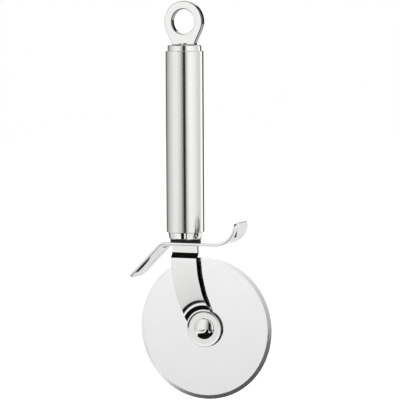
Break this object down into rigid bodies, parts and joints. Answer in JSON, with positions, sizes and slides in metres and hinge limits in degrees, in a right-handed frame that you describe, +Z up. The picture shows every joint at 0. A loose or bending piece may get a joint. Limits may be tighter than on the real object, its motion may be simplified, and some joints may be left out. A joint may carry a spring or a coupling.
{
  "type": "pizza cutter",
  "caption": "Hand-held pizza cutter: a round steel handle with a hanging eye, a bent finger guard, and a one-sided arm carrying a bevelled cutting wheel that spins freely.",
  "frame": {"origin": "centre of the hanging eye's hole, midway through the eye's thickness", "axes": "+Z up along the handle's axis with the eye at the top, -Y out of the front face, on the side where the arm passes in front of the wheel, +X towards the thumb rest and the wheel's axle"},
  "size_m": [0.0835, 0.0214, 0.2233],
  "materials": {
    "satin_steel": "satin, fine brushing",
    "polished_steel": "mirror polished stainless steel",
    "blade_steel": "fine satin faces, ground bevel",
    "plain_steel": "as turned",
    "core_aluminium": "as machined",
    "black_rubber": "matte",
    "bush_plastic": "matte"
  },
  "bodies": {
    "cutter": {"hang_eye": "satin_steel", "top_cap": "polished_steel", "handle_tube": "satin_steel", "bottom_cap": "polished_steel", "seal_washer": "black_rubber", "finger_guard": "polished_steel", "cutter_arm": "polished_steel", "axle_rivet": "polished_steel", "rivet_cap": "polished_steel", "front_washer": "plain_steel", "rear_washer": "plain_steel", "eye_nut": "plain_steel", "eye_lock_washer": "plain_steel", "tang_core": "core_aluminium", "tang_pins": "plain_steel", "top_seal": "black_rubber", "bottom_seal": "black_rubber"},
    "wheel": {"cutting_wheel": "blade_steel", "axle_bush": "bush_plastic"}
  },
  "joints": [
    {"name": "wheel_spin", "type": "hinge", "parent": "cutter", "child": "wheel", "pos_m": [0.01188, 0, -0.17185], "axis": [0, 1, 0], "continuous": true}
  ]
}
